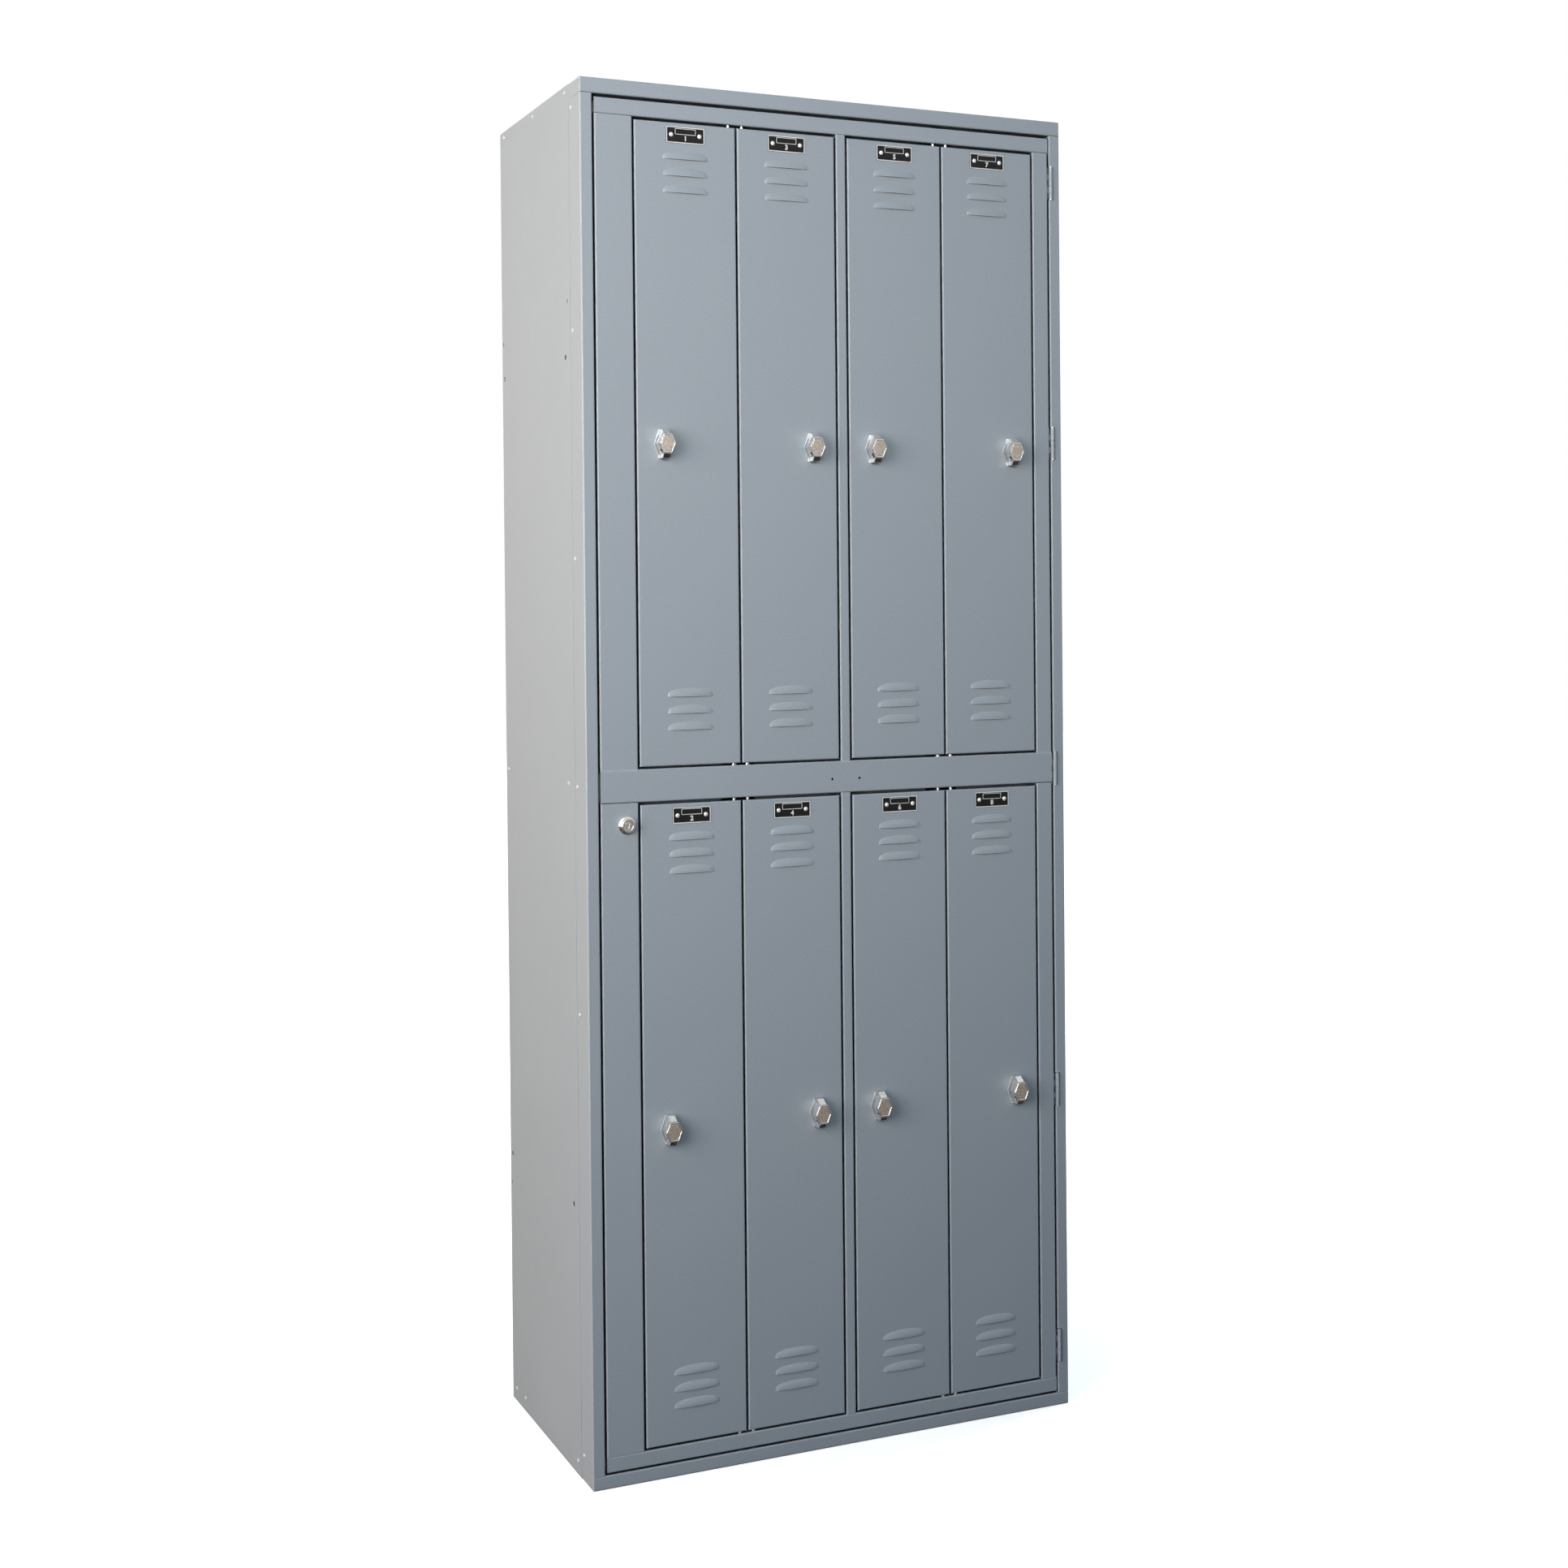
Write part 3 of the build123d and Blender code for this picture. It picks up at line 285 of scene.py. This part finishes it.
def hazed_plating():
    """The handles' fixed bases: hazed plating whose colour is a painted reflection of the paint round it,
    with painted glints at its points.
    """
    s = Surface("hasp_base_plating")
    haze = s.noise(180.0, 4.0, 0.6)
    # painted reflection: the blue-grey of the door paint round the base
    colour = s.blend(s.spread(haze, 0.0, 1.0), rgb(0.31, 0.35, 0.38), rgb(0.40, 0.44, 0.47))
    # painted glints: near white along the edges and points
    colour = s.blend(s.edges(1.2 * MM), colour, rgb(0.95, 0.96, 0.97))
    return s.finish(Base_Color=colour, Metallic=s.spread(haze, 0.20, 0.40),
                    Roughness=s.spread(haze, 0.28, 0.42), Normal=s.bump(haze, 0.05 * MM, 0.4))


def zinc_plating():
    """Bright zinc: small spangles and a slight haze."""
    s = Surface("zinc_plate", Metallic=1.0)
    spangle = s.cells(420.0)
    colour = s.blend(spangle, rgb(0.55, 0.56, 0.56), rgb(0.74, 0.74, 0.72))
    rough = s.maths("ADD", s.spread(s.noise(140.0, 3.0), 0.22, 0.36), s.maths("MULTIPLY", spangle, 0.08))
    grain = s.bump(s.noise(700.0, 2.0), 0.04 * MM, 0.4)
    return s.finish(Base_Color=colour, Roughness=rough, Normal=grain)


def rivet_metal(name, dark, light):
    """Set aluminium rivets: hazed, with small hammer marks."""
    s = Surface(name)
    marks = s.noise(480.0, 3.0, 0.6)
    colour = s.blend(s.spread(marks, 0.0, 1.0), dark, light)
    return s.finish(Base_Color=colour, Metallic=s.spread(marks, 0.25, 0.55),
                    Roughness=s.spread(marks, 0.30, 0.50), Normal=s.bump(marks, 0.10 * MM, 0.5))


def black_plate():
    """Gloss black anodised plate with hairline wipe marks."""
    s = Surface("number_plate", Specular_IOR_Level=0.25)
    wipes = s.noise(90.0, 4.0, 0.7, stretch=(1.0, 1.0, 7.0))
    colour = s.blend(s.spread(wipes, 0.0, 1.0), rgb(0.004, 0.004, 0.005), rgb(0.012, 0.012, 0.013))
    return s.finish(Base_Color=colour, Roughness=s.spread(wipes, 0.34, 0.50),
                    Normal=s.bump(s.noise(900.0, 2.0), 0.02 * MM, 0.4))


def white_print():
    """Screen-printed white with a slightly uneven ink film."""
    s = Surface("white_print")
    film = s.noise(700.0, 3.0, 0.6)
    colour = s.blend(s.spread(film, 0.0, 1.0), rgb(0.66, 0.66, 0.65), rgb(0.84, 0.84, 0.83))
    return s.finish(Base_Color=colour, Roughness=s.spread(film, 0.40, 0.60),
                    Normal=s.bump(film, 0.02 * MM, 0.5))


def black_rubber():
    """Matt moulded rubber."""
    s = Surface("rubber")
    bloom = s.noise(260.0, 4.0, 0.6)
    colour = s.blend(s.spread(bloom, 0.0, 1.0), rgb(0.018, 0.018, 0.019), rgb(0.045, 0.045, 0.045))
    return s.finish(Base_Color=colour, Roughness=s.spread(bloom, 0.70, 0.90),
                    Normal=s.bump(bloom, 0.05 * MM, 0.5))


finishes = {
    "painted_steel": satin_paint("painted_steel", 1.0),
    "chrome": bright_chrome(),
    "zinc_plate": zinc_plating(),
    "bright_rivets": rivet_metal("bright_rivets", rgb(0.46, 0.47, 0.47), rgb(0.72, 0.73, 0.73)),
    "number_plate": black_plate(),
    "rubber": black_rubber(),
}
hinge_paint = satin_paint("painted_hinges", 0.15)
base_plating = hazed_plating()
plate_rivet = rivet_metal("plate_rivets", rgb(0.84, 0.84, 0.84), rgb(0.96, 0.96, 0.96))
face_grain = grained_casting()
plate_print = white_print()

own_finishes = {f"door_{n}_hasp_base": base_plating for n in DOORS}
own_finishes["hinge_frame_leaves"] = hinge_paint
own_finishes["hinge_gang_leaves"] = hinge_paint

for part in frame["record"]["subparts"]:
    finish = own_finishes.get(part["node"], finishes[part["material_slot"]])
    for material_slot in frame["nodes"][part["node"]].material_slots:
        material_slot.material = finish


# ---- mesh helpers: outlines lie in the plane of the doors, as (x, z) pairs ----
def rounded_box(half_w, half_h, corner):
    """Points round a rectangle with round corners."""
    points = []
    for quarter, (sx, sz) in enumerate(((1, 1), (-1, 1), (-1, -1), (1, -1))):
        for step in range(CORNER_STEPS + 1):
            a = math.radians(90.0 * (quarter + step / CORNER_STEPS))
            x = sx * (half_w - corner) + corner * math.cos(a)
            z = sz * (half_h - corner) + corner * math.sin(a)
            points.append((x, z))
    return points


def hexagon(half_w, half_h, flat):
    """A hexagon with a point at each side and a flat at the top and bottom."""
    return [(half_w, 0), (flat, half_h), (-flat, half_h), (-half_w, 0), (-flat, -half_h), (flat, -half_h)]


def circle(radius):
    turns = [2 * math.pi * step / CIRCLE_STEPS for step in range(CIRCLE_STEPS)]
    return [(radius * math.cos(a), radius * math.sin(a)) for a in turns]


def loops_mesh(bm, centre, loops, capped=True):
    """Skins closed outlines, each as (y, points), and caps both ends or joins the last to the first."""
    rows = [[bm.verts.new((centre[0] + x, y, centre[1] + z)) for x, z in points] for y, points in loops]
    for back, front in zip(rows, rows[1:]):
        for i in range(len(back)):
            j = (i + 1) % len(back)
            bm.faces.new((back[i], back[j], front[j], front[i]))
    if capped:
        bm.faces.new(rows[0])
        bm.faces.new(rows[-1])
    else:
        for i in range(len(rows[0])):
            j = (i + 1) % len(rows[0])
            bm.faces.new((rows[-1][i], rows[-1][j], rows[0][j], rows[0][i]))


def piece(name, bm, material, body):
    """Makes a mesh object that rides on a body, with its normals outwards."""
    bmesh.ops.recalc_face_normals(bm, faces=bm.faces)
    mesh = bpy.data.meshes.new(name)
    bm.to_mesh(mesh)
    bm.free()
    mesh.materials.append(material)
    made = bpy.data.objects.new(name, mesh)
    bpy.context.scene.collection.objects.link(made)
    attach(made, body)
    return made


def smooth(made, angle):
    """Smooth shading with sharp edges kept above the angle."""
    made.data.shade_smooth()
    made.data.set_sharp_from_angle(angle=math.radians(angle))
    return made


# ---- number plates ----
def plate_body(name, centre, back, front, half_w, half_h, body):
    """The black plate, its front edge eased."""
    bm = bmesh.new()
    full = rounded_box(half_w, half_h, PLATE_CORNER)
    eased = rounded_box(half_w - PLATE_BEVEL, half_h - PLATE_BEVEL, PLATE_CORNER - PLATE_BEVEL)
    loops_mesh(bm, centre, [(back, full), (front + PLATE_BEVEL, full), (front, eased)])
    return piece(name, bm, finishes["number_plate"], body)


def printed_ring(bm, centre, y, half_w, half_h, corner, wide):
    """A closed printed line, slightly raised from the plate."""
    outer = rounded_box(half_w, half_h, corner)
    inner = rounded_box(half_w - wide, half_h - wide, max(corner - wide, CORNER_LEAST))
    top = y - PRINT_THICK
    loops_mesh(bm, centre, [(y, outer), (top, outer), (top, inner), (y, inner)], capped=False)


def plate_print_lines(name, centre, front, half_w, half_h, body):
    """The white border line and the blank outlined name field."""
    bm = bmesh.new()
    corner = PLATE_CORNER - BORDER_INSET
    printed_ring(bm, centre, front, half_w - BORDER_INSET, half_h - BORDER_INSET, corner, BORDER_WIDE)
    field = (centre[0], centre[1] + FIELD_RISE)
    printed_ring(bm, field, front, FIELD_SIZE[0] / 2, FIELD_SIZE[1] / 2, FIELD_CORNER, FIELD_LINE)
    return piece(name, bm, plate_print, body)


def plate_rivets(name, centre, front, body):
    """Two domed rivets, each with a low set collar."""
    bm = bmesh.new()
    top = front - COLLAR_TALL
    for side in (-1, 1):
        spot = (centre[0] + side * RIVET_SPACING / 2, centre[1])
        loops = [(front, circle(RIVET_HEAD_R * COLLAR_FOOT)), (top, circle(RIVET_HEAD_R * COLLAR_TOP))]
        for rise in DOME_LEVELS:
            y = top - rise * (RIVET_HEAD_TALL - COLLAR_TALL)
            loops.append((y, circle(RIVET_HEAD_R * math.sqrt(1 - rise * rise))))
        loops_mesh(bm, spot, loops)
    return smooth(piece(name, bm, plate_rivet, body), RIVET_SHARP)


def mesh_middle(mesh):
    """The middle of a mesh's box."""
    spots = [v.co for v in mesh.vertices]
    low, high = [Vector([pick(co[axis] for co in spots) for axis in range(3)]) for pick in (min, max)]
    return (low + high) / 2


def plate_digit(name, number, centre, front, body):
    """The compartment number as a thin raised print."""
    curve = bpy.data.curves.new(name, "FONT")
    curve.body = str(number)
    curve.align_x = "CENTER"
    curve.align_y = "CENTER"
    curve.size = DIGIT_TALL / DIGIT_SHARE
    curve.extrude = PRINT_THICK / 2
    curve.offset = DIGIT_BOLD
    text = bpy.data.objects.new(name + "_outline", curve)
    bpy.context.scene.collection.objects.link(text)
    bpy.context.view_layer.update()
    mesh = bpy.data.meshes.new_from_object(text)
    bpy.data.objects.remove(text)
    spot = Vector((centre[0], front - PRINT_THICK / 2, centre[1] - DIGIT_DROP))
    upright = Matrix.Rotation(math.radians(90), 4, "X")
    mesh.transform(Matrix.Translation(spot) @ upright @ Matrix.Translation(-mesh_middle(mesh)))
    bm = bmesh.new()
    bm.from_mesh(mesh)
    bpy.data.meshes.remove(mesh)
    return piece(name, bm, plate_print, body)


for n in DOORS:
    low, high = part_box(f"door_{n}_number_plate")
    centre = ((low.x + high.x) / 2, (low.z + high.z) / 2)
    half_w, half_h = (high.x - low.x) / 2, (high.z - low.z) / 2
    front = low.y + RIVET_HEAD_TALL
    body = f"door_{n}"
    plate = plate_body(f"door_{n}_plate", centre, high.y, front, half_w, half_h, body)
    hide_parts(f"door_{n}_number_plate")
    plate_print_lines(f"door_{n}_plate_border", centre, front, half_w, half_h, body)
    plate_rivets(f"door_{n}_plate_rivets", centre, front, body)
    plate_digit(f"door_{n}_digit", n, centre, front, body)


# ---- turn handle faces ----
def handle_face(name, centre, y, body):
    """The grained inlay of a turn handle: a low crowned hexagon in the sunk face."""
    bm = bmesh.new()
    loops = []
    for rise, share in FACE_LEVELS:
        outline = hexagon(FACE_HALF_W * share, FACE_HALF_H * share, FACE_FLAT * share)
        loops.append((y - rise * FACE_THICK, outline))
    loops_mesh(bm, centre, loops)
    return piece(name, bm, face_grain, body)


for n in DOORS:
    base_low, base_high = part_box(f"door_{n}_hasp_base")
    hub = ((base_low.x + base_high.x) / 2, (base_low.z + base_high.z) / 2)
    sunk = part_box(f"door_{n}_turn_latch")[0].y + FACE_SUNK
    handle_face(f"door_{n}_handle_face", hub, sunk, f"latch_{n}")


# ---- ground welds: they fill the bend of a rail flush where an upright stands on it ----
def ground_weld(name, x0, x1, front, z, body):
    """A three-sided bar that closes the rail's bend, just below height z."""
    bm = bmesh.new()
    section = ((front, z), (front, z - WELD_SIZE), (front + WELD_SIZE, z))
    left, right = [[bm.verts.new((x, y, height)) for y, height in section] for x in (x0, x1)]
    bm.faces.new(left)
    bm.faces.new(right)
    for i in range(3):
        j = (i + 1) % 3
        bm.faces.new((left[i], left[j], right[j], right[i]))
    return piece(name, bm, finishes["painted_steel"], body)


rail_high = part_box("gang_middle_rail")[1]
left_low, left_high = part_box("gang_left_stile")
right_low, right_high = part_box("gang_right_stile")
middle_low, middle_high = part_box("gang_mullions")
weld_z = rail_high.z - LIP_TALL
welds = {
    "left": (left_low.x + WELD_END, left_high.x - DOOR_LIP - WELD_END),
    "middle": (middle_low.x + DOOR_LIP + WELD_END, middle_high.x - DOOR_LIP - WELD_END),
    "right": (right_low.x + DOOR_LIP + WELD_END, right_high.x - WELD_END),
}
for place, (x0, x1) in welds.items():
    ground_weld(f"ground_weld_{place}", x0, x1, left_low.y, weld_z, "gang_door")


# ---- stage ----
def pale_floor():
    """A pale floor that gives off light of its own, more of it further out, so that it fades to white."""
    s = Surface("pale_floor", Emission_Color=rgb(1.0, 1.0, 1.0), Specular_IOR_Level=0.2)
    haze = s.noise(1.5, 3.0, 0.6)
    colour = s.blend(s.spread(haze, 0.0, 1.0), rgb(0.84, 0.84, 0.84), rgb(0.88, 0.88, 0.88))
    distance = s.nodes.new("ShaderNodeVectorMath")
    distance.operation = "LENGTH"
    s.links.new(s.place, distance.inputs[0])
    glow = s.spread(distance.outputs["Value"], *FLOOR_GLOW, *FLOOR_GLOW_REACH)
    return s.finish(Base_Color=colour, Roughness=s.spread(haze, 0.75, 0.85), Emission_Strength=glow)


bm = bmesh.new()
bmesh.ops.create_grid(bm, x_segments=4, y_segments=4, size=FLOOR_HALF)
mesh = bpy.data.meshes.new("floor")
bm.to_mesh(mesh)
bm.free()
mesh.materials.append(pale_floor())
floor = bpy.data.objects.new("floor", mesh)
floor.location.z = -FLOOR_DROP
floor.visible_diffuse = False
floor.visible_glossy = False
bpy.context.scene.collection.objects.link(floor)


def soft_light(name, place, target, size, radiance, colour, spread=180.0):
    """A rectangular softbox of a given brightness that faces its target and isn't seen itself."""
    data = bpy.data.lights.new(name, "AREA")
    data.shape = "RECTANGLE"
    data.size, data.size_y = size
    data.energy = radiance * math.pi * size[0] * size[1]
    data.color = colour
    data.spread = math.radians(spread)
    light = bpy.data.objects.new(name, data)
    light.location = place
    light.rotation_euler = (Vector(target) - Vector(place)).to_track_quat("-Z", "Y").to_euler()
    light.visible_camera = False
    bpy.context.scene.collection.objects.link(light)


NEUTRAL = (1.0, 1.0, 1.0)
soft_light("front_key", place=(-1.2, -3.8, 2.3), target=(-0.15, -0.2, 1.8), size=(1.6, 1.0),
           radiance=1.98, colour=(1.0, 0.97, 0.925), spread=62.0)
soft_light("left_strip", place=(-2.9, -1.7, 1.7), target=(-0.2, -0.2, 1.3), size=(2.2, 2.4),
           radiance=7.2, colour=(1.0, 0.927, 0.895))
soft_light("left_broad", place=(-3.4, 0.9, 1.5), target=(-0.38, 0.0, 1.1), size=(1.4, 2.0),
           radiance=7.6, colour=(1.0, 0.745, 0.503))
soft_light("back_softbox", place=(1.5, 3.6, 2.6), target=(0.0, 0.2, 1.2), size=(2.4, 1.4),
           radiance=5.0, colour=NEUTRAL)
soft_light("right_softbox", place=(3.4, 0.6, 2.2), target=(0.38, 0.0, 1.1), size=(0.8, 2.0),
           radiance=8.0, colour=NEUTRAL)


# ---- world: one room for soft light, another for mirrored light, white for the camera ----
ROOM_TONES = (
    (0.0, rgb(0.012, 0.018, 0.023)),
    (0.46, rgb(0.053, 0.080, 0.103)),
    (0.54, rgb(0.176, 0.300, 0.428)),
    (1.0, rgb(0.410, 0.720, 1.000)),
)
MIRRORED_TONES = (
    (0.0, rgb(0.01, 0.01, 0.01)),
    (0.36, rgb(0.16, 0.13, 0.12)),
    (0.48, rgb(0.45, 0.42, 0.39)),
    (0.56, rgb(0.95, 0.92, 0.88)),
    (1.0, rgb(1.0, 1.0, 1.0)),
)

world = bpy.data.worlds.new("studio")
world.use_nodes = True
bpy.context.scene.world = world
tree = world.node_tree


def upwards():
    """How far a ray points up: 0 straight down, 0.5 level, 1 straight up."""
    direction = tree.nodes.new("ShaderNodeTexCoord")
    split = tree.nodes.new("ShaderNodeSeparateXYZ")
    shift = tree.nodes.new("ShaderNodeMapRange")
    shift.inputs["From Min"].default_value = -1.0
    tree.links.new(direction.outputs["Generated"], split.inputs["Vector"])
    tree.links.new(split.outputs["Z"], shift.inputs["Value"])
    return shift.outputs["Result"]


def room(background, rise, tones, strength):
    """Shades a world background from the floor up, by (position, colour) tones."""
    ramp = tree.nodes.new("ShaderNodeValToRGB")
    elements = ramp.color_ramp.elements
    elements[0].position, elements[0].color = tones[0]
    elements[1].position, elements[1].color = tones[-1]
    for position, colour in tones[1:-1]:
        elements.new(position).color = colour
    tree.links.new(rise, ramp.inputs["Fac"])
    tree.links.new(ramp.outputs["Color"], background.inputs["Color"])
    background.inputs["Strength"].default_value = strength
    return background.outputs["Background"]


def choose(switch, first, second):
    """The second shader for rays of the switch's kind, and the first for all others."""
    mix = tree.nodes.new("ShaderNodeMixShader")
    tree.links.new(switch, mix.inputs["Fac"])
    tree.links.new(first, mix.inputs[1])
    tree.links.new(second, mix.inputs[2])
    return mix.outputs["Shader"]


rise = upwards()
rays = tree.nodes.new("ShaderNodeLightPath")
white = tree.nodes.new("ShaderNodeBackground")
white.inputs["Color"].default_value = rgb(1.0, 1.0, 1.0)
white.inputs["Strength"].default_value = 1.0
fill = room(tree.nodes["Background"], rise, ROOM_TONES, ROOM_FILL)
mirrored = room(tree.nodes.new("ShaderNodeBackground"), rise, MIRRORED_TONES, ROOM_MIRRORED)
unseen = choose(rays.outputs["Is Glossy Ray"], fill, mirrored)
shown = choose(rays.outputs["Is Camera Ray"], unseen, white.outputs["Background"])
tree.links.new(shown, tree.nodes["World Output"].inputs["Surface"])


# ---- camera ----
camera_data = bpy.data.cameras.new("camera")
camera_data.sensor_width = SENSOR_WIDE
camera_data.lens = CAMERA_LENS
camera_data.shift_y = CAMERA_SHIFT
camera = bpy.data.objects.new("camera", camera_data)
camera.rotation_mode = "QUATERNION"
heading = Matrix.Rotation(math.radians(CAMERA_HEADING), 3, "Z")
tilt = Matrix.Rotation(math.radians(CAMERA_TILT), 3, "X")
roll = Matrix.Rotation(math.radians(CAMERA_ROLL), 3, "Z")
camera.rotation_quaternion = (heading @ tilt @ roll).to_quaternion()
camera.location = CAMERA_PLACE
bpy.context.scene.collection.objects.link(camera)
bpy.context.scene.camera = camera
bpy.context.scene.view_settings.view_transform = "Standard"
